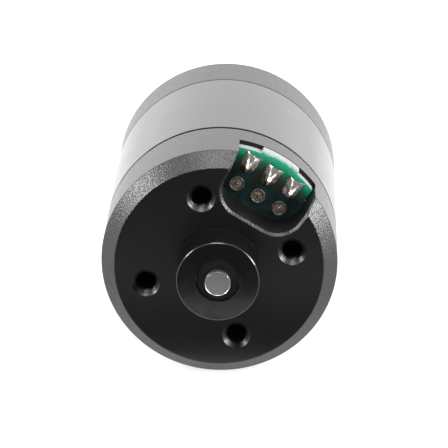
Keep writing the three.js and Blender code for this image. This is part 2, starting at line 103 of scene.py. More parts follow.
class MotorBaseSettings(bpy.types.PropertyGroup):
    """Sizes of the turned base."""
    base_length: length("Base length", "From the mounting face to the running gap", 10.55)
    plate: length("Plate", "Thickness of the mounting plate", 5.2)
    skirt_inner: length("Skirt inner radius", "Inside of the skirt round the winding board", 13.25)
    chamfer_radial: length("Chamfer, radial", "Width of the edge chamfer across the face", 1.8)
    chamfer_axial: length("Chamfer, axial", "Length of the edge chamfer along the axis", 2.0)
    boss_radius: length("Boss radius", "Locating boss round the shaft", 5.2)
    boss_height: length("Boss height", "How far the boss stands out of the face", 4.9)
    boss_chamfer: length("Boss chamfer", "Bright-cut chamfer round the boss", 0.12)
    boss_hole: length("Boss hole radius", "Clearance hole round the shaft", 2.8)
    boss_lip: length("Boss lip", "Thickness of the lip that holds the front bearing", 1.0)
    bearing_bore: length("Bearing bore radius", "Bore of the bearing tube", 3.989)
    edge_round: length("Edge round", "Small round left on every turned edge", 0.12)


class MotorHoleSettings(bpy.types.PropertyGroup):
    """Tapped holes in the mounting face and in the output face."""
    first_angle: angle("First hole", "Angle of the first mounting hole", 13.5)
    mount_circle: length("Mounting circle radius", "Radius of the mounting hole circle", 9.5)
    output_circle: length("Output circle radius", "Radius of the output hole circle", 8.0)
    core_radius: length("Thread core radius", "Radius at the thread's crests in the hole", 1.27)
    thread_depth: length("Thread depth", "Height of the thread", 0.22)
    pitch: length("Thread pitch", "Distance between turns, M3 coarse", 0.5)
    sink_radius: length("Countersink radius", "Radius of the countersink at the face", 1.8)
    depth: length("Hole depth", "Depth of the blind mounting holes", 4.6)


class MotorPocketSettings(bpy.types.PropertyGroup):
    """Pocket in the base's rim and the solder pads in it."""
    angle: angle("Pocket angle", "Direction of the pocket's middle", 58.5)
    half_width: length("Half width", "From the pocket's middle to a side wall, at the inner corners", 5.45)
    flare: number("Flare", "How much each wall opens outwards for each unit of distance", 0.06)
    floor: length("Inner wall", "Distance of the inner wall from the axis", 7.25)
    corner: length("Corner radius", "Radius of the pocket's two inner corners", 3.3)
    end: length("Pocket depth", "How far the pocket cuts down the skirt", 6.6)
    rim: length("Rim chamfer", "Chamfer where the pocket meets the face", 0.32)
    pad_pitch: length("Pad pitch", "Distance between neighbouring phase pads", 3.15)
    eyelet_distance: length("Eyelet distance", "Distance of the eyelet row from the axis", 9.2)
    pad_outer: length("Pad outer end", "Distance of the solder pads' outer ends from the axis", 13.65)
    pad_inner: length("Pad inner end", "Distance of the solder pads' inner ends from the axis", 10.95)


class MotorColourSettings(bpy.types.PropertyGroup):
    """Colours, as sRGB hex values."""
    anodised: colour_value("Anodised aluminium", "Black dye layer", "#09090a")
    can: colour_value("Can", "Black coat of the flux ring", "#0f0f11")
    mask: colour_value("Solder mask", "Green mask of the board", "#0a5f44")
    epoxy: colour_value("Glass epoxy", "Cut edge of the board", "#747877")
    solder: colour_value("Solder", "Frozen solder", "#cbc6be")
    flux: colour_value("Flux", "Burnt flux on the solder", "#66574a")
    # The resin colour is near black: partly the clear resin's own tint over the board, partly painted shade of
    # the pocket's depth.
    resin: colour_value("Resin", "Clear resin over the dark board", "#101716")


class MotorStageSettings(bpy.types.PropertyGroup):
    """Camera and light."""
    azimuth: angle("Azimuth", "Camera direction round Z, from the front", 1.596)
    elevation: angle("Elevation", "Camera height above the horizon", 20.584)
    distance: length("Distance", "Camera to the motor's middle", 342.86)
    lens: number("Lens", "Focal length in millimetres", 209.15)
    sky: number("Sky", "Strength of the white surroundings", 2.2)
    table_glow: number("Table glow", "Own light of the light table", 0.75)
    side_light: number("Side lights", "Power in watts", 1.0, "POWER")
    top_light: number("Top light", "Power in watts", 1.6, "POWER")


# ---------------------------------------------------------------- surfaces
def new_piece(name, mesh, body, slot, *materials):
    """Links a finished mesh as an object at the origin, riding on a body."""
    piece = bpy.data.objects.new(name, mesh)
    bpy.context.scene.collection.objects.link(piece)
    for material in materials:
        mesh.materials.append(material)
    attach(piece, body)
    return piece


def grid_mesh(name, grid, wrap_rows=True, wrap_columns=True, cap_rows=False, sharp=35.0):
    """A mesh from a rows x columns x 3 grid of points: one quad for each cell. A wrapped direction joins its
    last line of points to its first, and cap_rows closes the first and last rows with a flat face."""
    rows, columns = grid.shape[:2]
    index = np.arange(rows * columns).reshape(rows, columns)
    if wrap_rows:
        index = np.vstack([index, index[:1]])
    if wrap_columns:
        index = np.hstack([index, index[:, :1]])
    quads = np.stack([index[:-1, :-1], index[1:, :-1], index[1:, 1:], index[:-1, 1:]], axis=-1).reshape(-1, 4)
    faces = quads.tolist()
    if cap_rows:
        faces += [np.arange(columns).tolist(), (np.arange(columns) + (rows - 1) * columns).tolist()]
    mesh = bpy.data.meshes.new(name)
    mesh.from_pydata(grid.reshape(-1, 3), [], faces)
    return finished(mesh, sharp)


def finished(mesh, sharp=35.0):
    """Welds seams and poles, turns every face outwards and shades smooth up to the sharp angle."""
    shell = bmesh.new()
    shell.from_mesh(mesh)
    bmesh.ops.remove_doubles(shell, verts=shell.verts, dist=0.0002 * MM)
    bmesh.ops.dissolve_degenerate(shell, edges=shell.edges, dist=0.0001 * MM)
    bmesh.ops.recalc_face_normals(shell, faces=shell.faces)
    shell.to_mesh(mesh)
    shell.free()
    mesh.shade_smooth()
    mesh.set_sharp_from_angle(angle=math.radians(sharp))
    return mesh


def eased(corners, radius, closed=True, pieces=4):
    """Rounds the corners of a profile: each corner gives way to a parabola that starts and ends one radius
    from it, with a support point as far again outside each end, so that flats stay flat when shaded smooth.
    A corner's third number, where it has one, is its own radius. No corner takes more than the given share of
    a side, so that neighbours' supports never cross."""
    most = 0.24
    radii = [corner[2] if len(corner) > 2 else radius for corner in corners]
    corners = np.array([corner[:2] for corner in corners], float)
    count = len(corners)
    spread = np.linspace(0, 1, pieces + 1)[:, None]
    result = []
    for i in range(count):
        here = corners[i]
        if not closed and i in (0, count - 1):
            result.append(here[None])
            continue
        before, after = corners[i - 1], corners[(i + 1) % count]
        reach_in, reach_out = np.linalg.norm(before - here), np.linalg.norm(after - here)
        cut = min(radii[i], most * reach_in, most * reach_out)
        start = here + (before - here) / reach_in * cut
        end = here + (after - here) / reach_out * cut
        arc = (1 - spread) ** 2 * start + 2 * spread * (1 - spread) * here + spread ** 2 * end
        result += [(2 * start - here)[None], arc, (2 * end - here)[None]]
    return np.vstack(result)


def turned_grid(profile, steps):
    """Turns a profile of (radius, y) points round the Y axis: x = r cos a, z = r sin a."""
    around = np.arange(steps) * TAU / steps
    radius, along = profile[:, 0], profile[:, 1]
    return np.stack([
        np.cos(around)[:, None] * radius,
        np.broadcast_to(along, (steps, len(along))),
        np.sin(around)[:, None] * radius,
    ], axis=-1)


def turned(name, profile, steps=ROUND_STEPS, closed=True):
    """A turned piece. An open profile starts and ends on the axis."""
    return grid_mesh(name, turned_grid(profile, steps), True, closed)


def to_place(points, distance, across, turn):
    """Moves points given round a local axis parallel to Y to a place in the pocket's own directions:
    distance from the motor's axis, across the pocket, turned to the given angle."""
    out, side = points[..., 0] + distance, points[..., 2] + across
    return np.stack([
        out * math.cos(turn) - side * math.sin(turn),
        points[..., 1],
        out * math.sin(turn) + side * math.cos(turn),
    ], axis=-1)


def cut_away(mesh, cutters, sharp=35.0):
    """Cuts closed meshes, which don't touch each other, out of a mesh."""
    body = bpy.data.objects.new("body", mesh)
    bpy.context.scene.collection.objects.link(body)
    tools = []
    for cutter in cutters:
        tool = bpy.data.objects.new("cutter", cutter)
        bpy.context.scene.collection.objects.link(tool)
        step = body.modifiers.new("cut", "BOOLEAN")
        step.object, step.operation, step.solver = tool, "DIFFERENCE", "EXACT"
        tools.append(tool)
    graph = bpy.context.evaluated_depsgraph_get()
    result = bpy.data.meshes.new_from_object(body.evaluated_get(graph))
    for spare in [body, *tools]:
        bpy.data.objects.remove(spare)
    return finished(result, sharp)


def paint_faces(mesh, chosen):
    """Gives each face the material whose number chosen works out from the faces' centres and normals."""
    centre, normal = np.empty(len(mesh.polygons) * 3), np.empty(len(mesh.polygons) * 3)
    mesh.polygons.foreach_get("center", centre)
    mesh.polygons.foreach_get("normal", normal)
    picked = chosen(centre.reshape(-1, 3), normal.reshape(-1, 3))
    mesh.polygons.foreach_set("material_index", picked.astype(np.int32))


def tapped_hole(holes, distance, turn, face, depth, inwards):
    """A cutter for a tapped hole, which starts above the face. Its radius is the larger of two: a helix,
    whose height follows a triangle wave of depth / pitch - angle / full turn, clipped to flat crests and
    roots, and the 45 degree cone of the countersink."""
    above, rows_per_turn, steps = 1.2 * MM, 8, 48
    rows = np.append(np.arange(-above, depth, holes.pitch / rows_per_turn), depth)[:, None]
    around = (np.arange(steps) * TAU / steps)[None, :]
    phase = (rows / holes.pitch - around / TAU) % 1.0
    wave = 1 - np.abs(2 * phase - 1)
    radius = holes.core_radius + holes.thread_depth * np.clip(1.3 * wave - 0.1, 0, 1)
    radius = np.maximum(radius, holes.sink_radius - rows)
    points = np.stack([
        radius * np.cos(around),
        face + inwards * np.broadcast_to(rows, radius.shape),
        radius * np.sin(around),
    ], axis=-1)
    return grid_mesh("tapped_hole", to_place(points, distance, 0.0, turn), False, True, cap_rows=True)


def pocket_outline(pocket, inset, reach):
    """The pocket seen from the front, as (distance, across) points: out along one wall, round two corners
    and the inner wall, and back along the other wall, moved inwards by inset."""
    half, corner, floor = pocket.half_width - inset, pocket.corner - inset, pocket.floor + inset
    arc = np.linspace(0, math.pi / 2, 17)
    first = np.stack([floor + corner - corner * np.sin(arc), half - corner + corner * np.cos(arc)], axis=-1)
    second = first[::-1] * [1, -1]
    wall = np.linspace(reach, floor + corner, 12, endpoint=False)
    up = np.stack([wall, half + pocket.flare * (wall - floor - corner)], axis=-1)
    flat = np.linspace(half - corner, corner - half, 14)[1:-1]
    inner = np.stack([np.full(len(flat), floor), flat], axis=-1)
    down = up[::-1] * [1, -1]
    return np.vstack([up, first, inner, second, down])


def pocket_cutter(pocket, base):
    """The pocket's outline carried along Y. It widens towards the face by the rim chamfer, which follows the
    surface back along the base's edge chamfer: there the face lies (radius - inner radius) x slope deep. The
    cutter goes on past the face and past the base's side by a clearance."""
    slope, clear = base.chamfer_axial / base.chamfer_radial, 1.0 * MM
    narrow, wide = (pocket_outline(pocket, inset, BODY_R + 3 * clear) for inset in (0.0, -pocket.rim - clear))
    radius = np.hypot(narrow[:, 0], narrow[:, 1])
    face = np.clip((radius - BODY_R + base.chamfer_radial) * slope, 0, base.chamfer_axial)
    layers = [np.stack([outline[:, 0], depth, outline[:, 1]], axis=-1) for outline, depth in (
        (wide, 0 * face - 3 * clear), (wide, face - clear), (narrow, face + pocket.rim),
        (narrow, 0 * face + pocket.end))]
    grid = to_place(np.array(layers), 0.0, 0.0, pocket.angle)
    return grid_mesh("pocket", grid, False, True, cap_rows=True)


# ---------------------------------------------------------------- materials
def linear(text, alpha=1.0):
    """An sRGB hex colour as linear red, green, blue and alpha."""
    channels = [int(text[i:i + 2], 16) / 255 for i in (1, 3, 5)]
    return tuple(c / 12.92 if c <= 0.04045 else ((c + 0.055) / 1.055) ** 2.4 for c in channels) + (alpha,)


def add_node(tree, kind, inputs=None, **settings):
    """Adds a node, sets its properties, and sets or links its inputs."""
    made = tree.nodes.new(kind)
    for name, value in settings.items():
        setattr(made, name, value)
    for name, value in (inputs or {}).items():
        if isinstance(value, bpy.types.NodeSocket):
            tree.links.new(value, made.inputs[name])
        else:
            made.inputs[name].default_value = value
    return made


def start_material(name, **sockets):
    """A new material: its tree, its Principled shader with plain values set, and the Object coordinates."""
    material = bpy.data.materials.new(name)
    material.use_nodes = True
    tree = material.node_tree
    shader = tree.nodes["Principled BSDF"]
    for socket, value in sockets.items():
        shader.inputs[socket.replace("_", " ")].default_value = value
    place = add_node(tree, "ShaderNodeTexCoord").outputs["Object"]
    return material, tree, shader, place


def stops(ramp, *pairs):
    """Sets a colour ramp's stops from (position, colour) pairs."""
    elements = ramp.color_ramp.elements
    elements[0].position, elements[0].color = pairs[0]
    elements[1].position, elements[1].color = pairs[-1]
    for position, colour in pairs[1:-1]:
        elements.new(position).color = colour
    return ramp.outputs["Color"]


def from_axis(tree, place):
    """Two sockets: how far a point is from the motor's axis, and how far along it."""
    apart = add_node(tree, "ShaderNodeSeparateXYZ", {"Vector": place})
    flat = add_node(tree, "ShaderNodeCombineXYZ", {"X": apart.outputs["X"], "Y": apart.outputs["Z"]})
    radius = add_node(tree, "ShaderNodeVectorMath", {0: flat.outputs["Vector"]}, operation="LENGTH")
    return radius.outputs["Value"], apart.outputs["Y"]


def anodised(name, colour, other, roughness, grain, depth):
    """Black anodised aluminium: a clear hard oxide over black dye, so a dark body under a thin even gloss.
    The surface before the bath gives the grain and the depth of its dimples."""
    material, tree, shader, place = start_material(name, Metallic=0.0, IOR=1.46, Roughness=roughness)
    dimples = add_node(tree, "ShaderNodeTexNoise", {"Vector": place, "Scale": 1 / grain, "Detail": 3.0})
    fine = add_node(tree, "ShaderNodeTexVoronoi", {"Vector": place, "Scale": 1.25 / grain})
    first = add_node(tree, "ShaderNodeBump", {
        "Height": dimples.outputs["Fac"], "Strength": 0.8, "Distance": depth})
    second = add_node(tree, "ShaderNodeBump", {
        "Height": fine.outputs["Distance"], "Strength": 0.6, "Distance": 0.7 * depth,
        "Normal": first.outputs["Normal"]})
    tree.links.new(second.outputs["Normal"], shader.inputs["Normal"])
    clouds = add_node(tree, "ShaderNodeTexNoise", {"Vector": place, "Scale": 1 / (2.5 * MM), "Detail": 3.0})
    tone = add_node(tree, "ShaderNodeValToRGB", {"Fac": clouds.outputs["Fac"]})
    tree.links.new(stops(tone, (0.3, linear(colour)), (0.75, linear(other))), shader.inputs["Base Color"])
    polish = add_node(tree, "ShaderNodeMapRange", {
        "Value": dimples.outputs["Fac"], "From Min": 0.35, "From Max": 0.65,
        "To Min": roughness - 0.04, "To Max": roughness + 0.04})
    tree.links.new(polish.outputs["Result"], shader.inputs["Roughness"])
    return material


def blasted_anodised(colour):
    """Bead-blasted before the bath. Glass beads leave dimples of 0.05 to 0.15 mm, which throw bright and dark
    specks side by side where a lamp is mirrored. They are drawn 0.25 mm wide, because finer ones don't
    show."""
    return anodised("blasted black anodised aluminium", colour, "#0f0f10", 0.32, 0.25 * MM, 0.06 * MM)


def satin_anodised(colour, roughness=0.34):
    """Fine satin before the bath: even to the eye, with a grain only at the very edge of a highlight."""
    return anodised("satin black anodised aluminium", colour, "#0b0b0c", roughness, 0.3 * MM, 0.004 * MM)


def speckled(name, colour, other, grain, roughness, metallic=0.0, bump=0.2, **sockets):
    """A finish whose colour, gloss and surface wander between two tones over a grain of the given size."""
    material, tree, shader, place = start_material(name, Metallic=metallic, Roughness=roughness, **sockets)
    noise = add_node(tree, "ShaderNodeTexNoise", {"Vector": place, "Scale": 1 / grain, "Detail": 4.0})
    tone = add_node(tree, "ShaderNodeValToRGB", {"Fac": noise.outputs["Fac"]})
    tree.links.new(stops(tone, (0.35, linear(colour)), (0.7, linear(other))), shader.inputs["Base Color"])
    polish = add_node(tree, "ShaderNodeMapRange", {
        "Value": noise.outputs["Fac"], "From Min": 0.3, "From Max": 0.7,
        "To Min": roughness * 0.8, "To Max": roughness * 1.25})
    tree.links.new(polish.outputs["Result"], shader.inputs["Roughness"])
    raised = add_node(tree, "ShaderNodeBump", {
        "Height": noise.outputs["Fac"], "Strength": bump, "Distance": grain * 0.2})
    tree.links.new(raised.outputs["Normal"], shader.inputs["Normal"])
    return material


def bore_painted_shade():
    """Wall of a small bore, where no lamp reaches: a dull copy of the black anodising. Its colour is a little
    lighter than the anodising's and is painted shade.
    """
    return speckled("black anodised bore with painted shade", "#1e1e1f", "#262627", 0.3 * MM, 0.75, Specular_IOR_Level=0.3)


def faced_anodised(colour):
    """Black anodised aluminium faced off on the lathe after blasting: smooth, with rings 0.1 mm apart."""
    material, tree, shader, place = start_material(
        "faced black anodised aluminium", Metallic=0.0, IOR=1.46, Roughness=0.17, Base_Color=linear(colour))
    radius = from_axis(tree, place)[0]
    rings = add_node(tree, "ShaderNodeTexNoise", {
        "W": radius, "Scale": 1 / (0.1 * MM), "Detail": 1.0}, noise_dimensions="1D")
    bump = add_node(tree, "ShaderNodeBump", {
        "Height": rings.outputs["Fac"], "Strength": 0.12, "Distance": 0.005 * MM})
    tree.links.new(bump.outputs["Normal"], shader.inputs["Normal"])
    haze = add_node(tree, "ShaderNodeTexNoise", {"Vector": place, "Scale": 1 / (1.5 * MM), "Detail": 3.0})
    polish = add_node(tree, "ShaderNodeMapRange", {
        "Value": haze.outputs["Fac"], "From Min": 0.3, "From Max": 0.7, "To Min": 0.14, "To Max": 0.21})
    tree.links.new(polish.outputs["Result"], shader.inputs["Roughness"])
    return material


def coated_can(colour):
    """Turned steel ring under thin black nickel. Turning leaves faint rings 0.2 mm apart round the can."""
    material, tree, shader, place = start_material(
        "black nickel on turned steel", Metallic=0.0, IOR=1.5, Roughness=0.24)
    rings = add_node(tree, "ShaderNodeMapping", {"Vector": place, "Scale": (30.0, 1 / (0.2 * MM), 30.0)})
    lines = add_node(tree, "ShaderNodeTexNoise", {
        "Vector": rings.outputs["Vector"], "Scale": 1.0, "Detail": 2.0})
    bump = add_node(tree, "ShaderNodeBump", {
        "Height": lines.outputs["Fac"], "Strength": 0.12, "Distance": 0.02 * MM})
    tree.links.new(bump.outputs["Normal"], shader.inputs["Normal"])
    haze = add_node(tree, "ShaderNodeTexNoise", {"Vector": place, "Scale": 1 / (3.0 * MM), "Detail": 4.0})
    polish = add_node(tree, "ShaderNodeMapRange", {
        "Value": haze.outputs["Fac"], "From Min": 0.3, "From Max": 0.7, "To Min": 0.235, "To Max": 0.26})
    tree.links.new(polish.outputs["Result"], shader.inputs["Roughness"])
    tone = add_node(tree, "ShaderNodeValToRGB", {"Fac": haze.outputs["Fac"]})
    tree.links.new(stops(tone, (0.3, linear(colour)), (0.8, linear("#111113"))), shader.inputs["Base Color"])
    return material


def ground_steel(name="ground shaft steel", colour="#b4b4b6", roughness=0.36):
    """Ground and polished steel: fine grinding lines round the axis, drawn 0.12 mm wide so that they show."""
    material, tree, shader, place = start_material(
        name, Metallic=1.0, Roughness=roughness, Base_Color=linear(colour))
    radius, along = from_axis(tree, place)
    both = add_node(tree, "ShaderNodeCombineXYZ", {"X": radius, "Y": along})
    lines = add_node(tree, "ShaderNodeTexNoise", {
        "Vector": both.outputs["Vector"], "Scale": 1 / (0.12 * MM), "Detail": 3.0})
    bump = add_node(tree, "ShaderNodeBump", {
        "Height": lines.outputs["Fac"], "Strength": 0.2, "Distance": 0.01 * MM})
    tree.links.new(bump.outputs["Normal"], shader.inputs["Normal"])
    polish = add_node(tree, "ShaderNodeMapRange", {
        "Value": lines.outputs["Fac"], "From Min": 0.3, "From Max": 0.7,
        "To Min": roughness - 0.06, "To Max": roughness + 0.08})
    tree.links.new(polish.outputs["Result"], shader.inputs["Roughness"])
    return material


def solder_mask_painted_shade(colour):
    """Green photo-imaged solder mask, glossy. A ramp by distance from the axis paints light and shade on it:
    painted shade darkens it towards the axis, deep in the pocket, and a painted lit band brightens it along
    the board's edge. The milled edge shows pale glass cloth."""
    material, tree, shader, place = start_material("green solder mask with painted shade", IOR=1.5, Roughness=0.2)
    radius = from_axis(tree, place)[0]
    blotches = add_node(tree, "ShaderNodeTexNoise", {"Vector": place, "Scale": 1 / (0.9 * MM), "Detail": 3.0})
    wander = add_node(tree, "ShaderNodeMath", {
        0: blotches.outputs["Fac"], 1: 0.8 * MM, 2: radius}, operation="MULTIPLY_ADD")
    share = add_node(tree, "ShaderNodeMapRange", {
        "Value": wander.outputs["Value"], "From Min": 12.2 * MM, "From Max": 15.25 * MM})
    tone = add_node(tree, "ShaderNodeValToRGB", {"Fac": share.outputs["Result"]})
    # The dark stops are painted shade of the pocket and the light green stop is a painted lit band. The mask's
    # own green and the pale glass cloth are real.
    green = stops(
        tone, (0.0, linear("#171a16")), (0.28, linear("#1c271f")), (0.5, linear("#103f30")),
        (0.66, linear(colour)), (0.88, linear("#1c7459")), (1.0, linear("#979d9b")))
    tree.links.new(green, shader.inputs["Base Color"])
    raised = add_node(tree, "ShaderNodeBump", {
        "Height": blotches.outputs["Fac"], "Strength": 0.3, "Distance": 0.05 * MM})
    tree.links.new(raised.outputs["Normal"], shader.inputs["Normal"])
    return material


def frozen_solder(colour, flux, burnt):
    """Tin-silver solder, frozen after hand soldering: a soft white metal, dented as it set, with a brown film
    where flux burnt on it, most near the inner end. Burnt moves the film's edge outwards."""
    material, tree, shader, place = start_material("hand soldered tin-silver", Metallic=0.88, Roughness=0.3)
    dents = add_node(tree, "ShaderNodeTexNoise", {"Vector": place, "Scale": 1 / (0.95 * MM), "Detail": 0.7})
    radius = from_axis(tree, place)[0]
    clean = add_node(tree, "ShaderNodeMapRange", {
        "Value": radius, "From Min": 11.0 * MM, "From Max": 12.8 * MM,
        "To Min": -0.16 - burnt, "To Max": 0.07 - burnt})
    share = add_node(tree, "ShaderNodeMath", {
        0: dents.outputs["Fac"], 1: clean.outputs["Result"]}, operation="ADD")
    tone = add_node(tree, "ShaderNodeValToRGB", {"Fac": share.outputs["Value"]})
    tree.links.new(stops(tone, (0.34, linear(flux)), (0.5, linear(colour))), shader.inputs["Base Color"])
    polish = add_node(tree, "ShaderNodeMapRange", {
        "Value": share.outputs["Value"], "From Min": 0.35, "From Max": 0.6, "To Min": 0.36, "To Max": 0.15})
    tree.links.new(polish.outputs["Result"], shader.inputs["Roughness"])
    raised = add_node(tree, "ShaderNodeBump", {
        "Height": dents.outputs["Fac"], "Strength": 0.7, "Distance": 0.2 * MM})
    tree.links.new(raised.outputs["Normal"], shader.inputs["Normal"])
    return material


def laminated_steel():
    """Electrical steel sheets 0.35 mm thick, stamped and stacked, so that the edges show as stripes, drawn
    for bundles of six sheets. A wave texture of scale 1 repeats every TAU / 20."""
    material, tree, shader, place = start_material("stacked electrical steel", Metallic=0.9, Roughness=0.4)
    bundle = 2.2 * MM
    stripes = add_node(tree, "ShaderNodeTexWave", {
        "Vector": place, "Scale": TAU / 20 / bundle, "Distortion": 0.0}, bands_direction="Y")
    tone = add_node(tree, "ShaderNodeValToRGB", {"Fac": stripes.outputs["Fac"]})
    tree.links.new(
        stops(tone, (0.2, linear("#3a3c3f")), (0.6, linear("#85878b"))), shader.inputs["Base Color"])
    return material


# ---------------------------------------------------------------- operators
class MOTOR_OT_base(bpy.types.Operator):
    """Turned base with boss, chamfer, skirt, tapped holes and pocket"""
    bl_idname = "motor.base"
    bl_label = "Base housing"

    def finish_of(self, centre, normal):
        """Which finish each face has: 0 blasted chamfers, 1 satin face, sides and holes, 2 faced boss and 3
        bore, a dull copy in painted shade. A hole's faces lie near its axis, found from the angle past the
        nearest hole's own."""
        base, holes = bpy.context.scene.motor_base, bpy.context.scene.motor_holes
        radius, along = np.hypot(centre[:, 0], centre[:, 2]), centre[:, 1]
        near = 0.03 * MM
        past = (np.arctan2(centre[:, 2], centre[:, 0]) - holes.first_angle + TAU / 8) % (TAU / 4) - TAU / 8
        from_hole = np.hypot(radius * np.cos(past) - holes.mount_circle, radius * np.sin(past))
        flat = (np.abs(along) < near) & (normal[:, 1] < -0.99)
        satin = flat | (along > base.chamfer_axial + near) | (from_hole < holes.sink_radius + near)
        return np.select([radius < base.boss_hole + near, along < -near, satin], [3, 2, 1], 0)

    def execute(self, context):
        base, holes = context.scene.motor_base, context.scene.motor_holes
        pocket, colours = context.scene.motor_pocket, context.scene.motor_colours
        boss_end, tube_end = BASE_LOW.y, BASE_HIGH.y
        keen, rim = 0.01 * MM, base.boss_chamfer
        profile = eased([
            (base.boss_hole, boss_end, keen), (base.boss_radius - rim, boss_end, keen),
            (base.boss_radius, boss_end + rim, keen), (base.boss_radius, 0.0, keen),
            (BODY_R - base.chamfer_radial, 0.0), (BODY_R, base.chamfer_axial), (BODY_R, base.base_length),
            (base.skirt_inner, base.base_length), (base.skirt_inner, base.plate),
            (base.boss_radius, base.plate), (base.boss_radius, tube_end), (base.bearing_bore, tube_end),
            (base.bearing_bore, boss_end + base.boss_lip), (base.boss_hole, boss_end + base.boss_lip),
        ], base.edge_round)
        cutters = [pocket_cutter(pocket, base)]
        for i in range(4):
            turn = holes.first_angle + i * TAU / 4
            cutters.append(tapped_hole(holes, holes.mount_circle, turn, 0.0, holes.depth, 1))
        mesh = cut_away(turned("base", profile), cutters)
        paint_faces(mesh, self.finish_of)
        piece = new_piece(
            "turned_base", mesh, "stator", "black_anodised",
            blasted_anodised(colours.anodised), satin_anodised(colours.anodised),
            faced_anodised(colours.anodised), bore_painted_shade())
        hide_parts("base_housing")
        return {"FINISHED"}


class MOTOR_OT_can(bpy.types.Operator):
    """Rotor can: steel flux ring and end bell"""
    bl_idname = "motor.can"
    bl_label = "Flux ring and bell"

    def execute(self, context):
        holes, colours = context.scene.motor_holes, context.scene.motor_colours
        ring_inner, glue, ease = 13.65 * MM, 0.02 * MM, 0.08 * MM
        hairline = 0.22 * MM                     # the larger round at both sides of the hairline joint
        ring = eased([
            (ring_inner, RING_LOW.y), (BODY_R, RING_LOW.y), (BODY_R, RING_HIGH.y, hairline),
            (ring_inner, RING_HIGH.y)], ease)
        piece = new_piece(
            "steel_flux_ring", turned("ring", ring), "rotor", "smooth_black", coated_can(colours.can))
        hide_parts("flux_ring")

        start, joint, end = BELL_LOW.y, RING_HIGH.y + glue, BELL_HIGH.y
        plate, chamfer = end - 2.8 * MM, 0.5 * MM
        recess, recess_floor = 4.0 * MM, end - 0.6 * MM
        shaft_bore, hub, hub_face = 1.6075 * MM, 4.2 * MM, SPACER_BACK + glue
        spigot, spigot_bore = ring_inner - 0.06 * MM, 12.6 * MM
        bell = eased([
            (shaft_bore, hub_face), (hub, hub_face), (hub, plate), (spigot_bore, plate), (spigot_bore, start),
            (spigot, start), (spigot, joint), (BODY_R, joint, hairline), (BODY_R, end - chamfer),
            (BODY_R - chamfer, end), (recess, end), (recess, recess_floor), (shaft_bore, recess_floor)], ease)
        through = end - plate + 1 * MM
        cutters = []
        for i in range(4):
            turn = holes.first_angle + i * TAU / 4
            cutters.append(tapped_hole(holes, holes.output_circle, turn, end, through, -1))
        mesh = cut_away(turned("bell", bell), cutters)
        piece = new_piece("end_bell", mesh, "rotor", "black_anodised", satin_anodised(colours.anodised, 0.35))
        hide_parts("bell")
        return {"FINISHED"}


class MOTOR_OT_shaft(bpy.types.Operator):
    """Shaft with a dished end and its clip groove, and the spring clip in the groove"""
    bl_idname = "motor.shaft"
    bl_label = "Shaft and clip"

    def execute(self, context):
        radius, start, end = SHAFT_HIGH.z, SHAFT_LOW.y, SHAFT_HIGH.y
        dish, rim, chamfer, keen = 0.08 * MM, 0.015 * MM, 0.22 * MM, 0.03 * MM
        groove, gap = 1.27 * MM, 0.02 * MM
        near, far = CLIP_LOW.y - gap, CLIP_HIGH.y + gap
        line = eased([
            (0, start + dish), (radius - rim - dish, start + dish), (radius - rim, start),
            (radius, start + rim), (radius, near), (groove, near), (groove, far), (radius, far),
            (radius, end - chamfer), (radius - chamfer, end), (0, end)], keen, closed=False)
        mesh = turned("shaft", line, SMALL_STEPS, False)
        piece = new_piece("ground_shaft", mesh, "rotor", "ground_steel", ground_steel())
        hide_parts("shaft")

        inner, outer, ease = groove + gap, CLIP_HIGH.x, 0.08 * MM
        section = eased([
            (inner, CLIP_LOW.y), (outer, CLIP_LOW.y), (outer, CLIP_HIGH.y), (inner, CLIP_HIGH.y)], ease)
        split = math.radians(0.5)                # half the angle between the clip's two ends, at its top
        around = np.linspace(split, TAU - split, 81) + TAU / 4
        grid = np.stack([
            np.cos(around)[:, None] * section[:, 0],
            np.broadcast_to(section[:, 1], (len(around), len(section))),
            np.sin(around)[:, None] * section[:, 0]], axis=-1)
        mesh = grid_mesh("clip", grid, False, True, cap_rows=True)
        piece = new_piece(
            "spring_clip", mesh, "rotor", "black_steel",
            speckled("black oxide spring steel", "#0c0c0d", "#111112", 0.2 * MM, 0.6, Specular_IOR_Level=0.3))
        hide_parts("retaining_clip")
        return {"FINISHED"}


